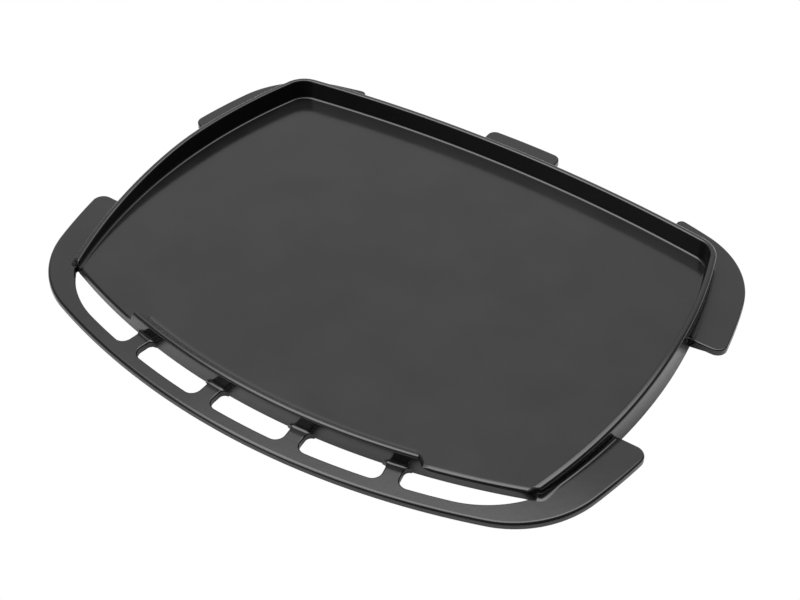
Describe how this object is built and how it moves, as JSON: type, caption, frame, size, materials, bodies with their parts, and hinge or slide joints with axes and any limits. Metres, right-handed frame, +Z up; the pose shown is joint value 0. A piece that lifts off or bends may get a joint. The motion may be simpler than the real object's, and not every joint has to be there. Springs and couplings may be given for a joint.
{
  "type": "camp griddle plate",
  "caption": "Shallow cast griddle pan with a rising rim at the sides and back, a front lip with drain sills, a slotted handle rail and flat ears that rest on a grill.",
  "frame": {"origin": "under the middle of the plate's box, on the surface that the skirt stands on", "axes": "+X to the right seen from the handle rail, +Y to the back tab, +Z up"},
  "size_m": [0.439, 0.348, 0.0248],
  "materials": {
    "black_enamel": "satin black vitreous enamel over the casting's fine sand texture"
  },
  "bodies": {
    "root": {"cooking_floor": "black_enamel", "left_side_wall": "black_enamel", "right_side_wall": "black_enamel", "back_wall": "black_enamel", "back_left_corner": "black_enamel", "back_right_corner": "black_enamel", "front_wall": "black_enamel", "front_lip": "black_enamel", "left_drain_sill": "black_enamel", "right_drain_sill": "black_enamel", "handle_rail": "black_enamel", "rail_web_1": "black_enamel", "rail_web_2": "black_enamel", "rail_web_3": "black_enamel", "rail_web_4": "black_enamel", "web_ledge_1": "black_enamel", "web_ledge_2": "black_enamel", "web_ledge_3": "black_enamel", "web_ledge_4": "black_enamel", "front_left_ear": "black_enamel", "front_right_ear": "black_enamel", "back_left_ear": "black_enamel", "back_right_ear": "black_enamel", "back_tab": "black_enamel", "front_left_ledge": "black_enamel", "front_right_ledge": "black_enamel", "back_left_ledge": "black_enamel", "back_right_ledge": "black_enamel", "back_left_rib": "black_enamel", "back_right_rib": "black_enamel"}
  },
  "joints": []
}
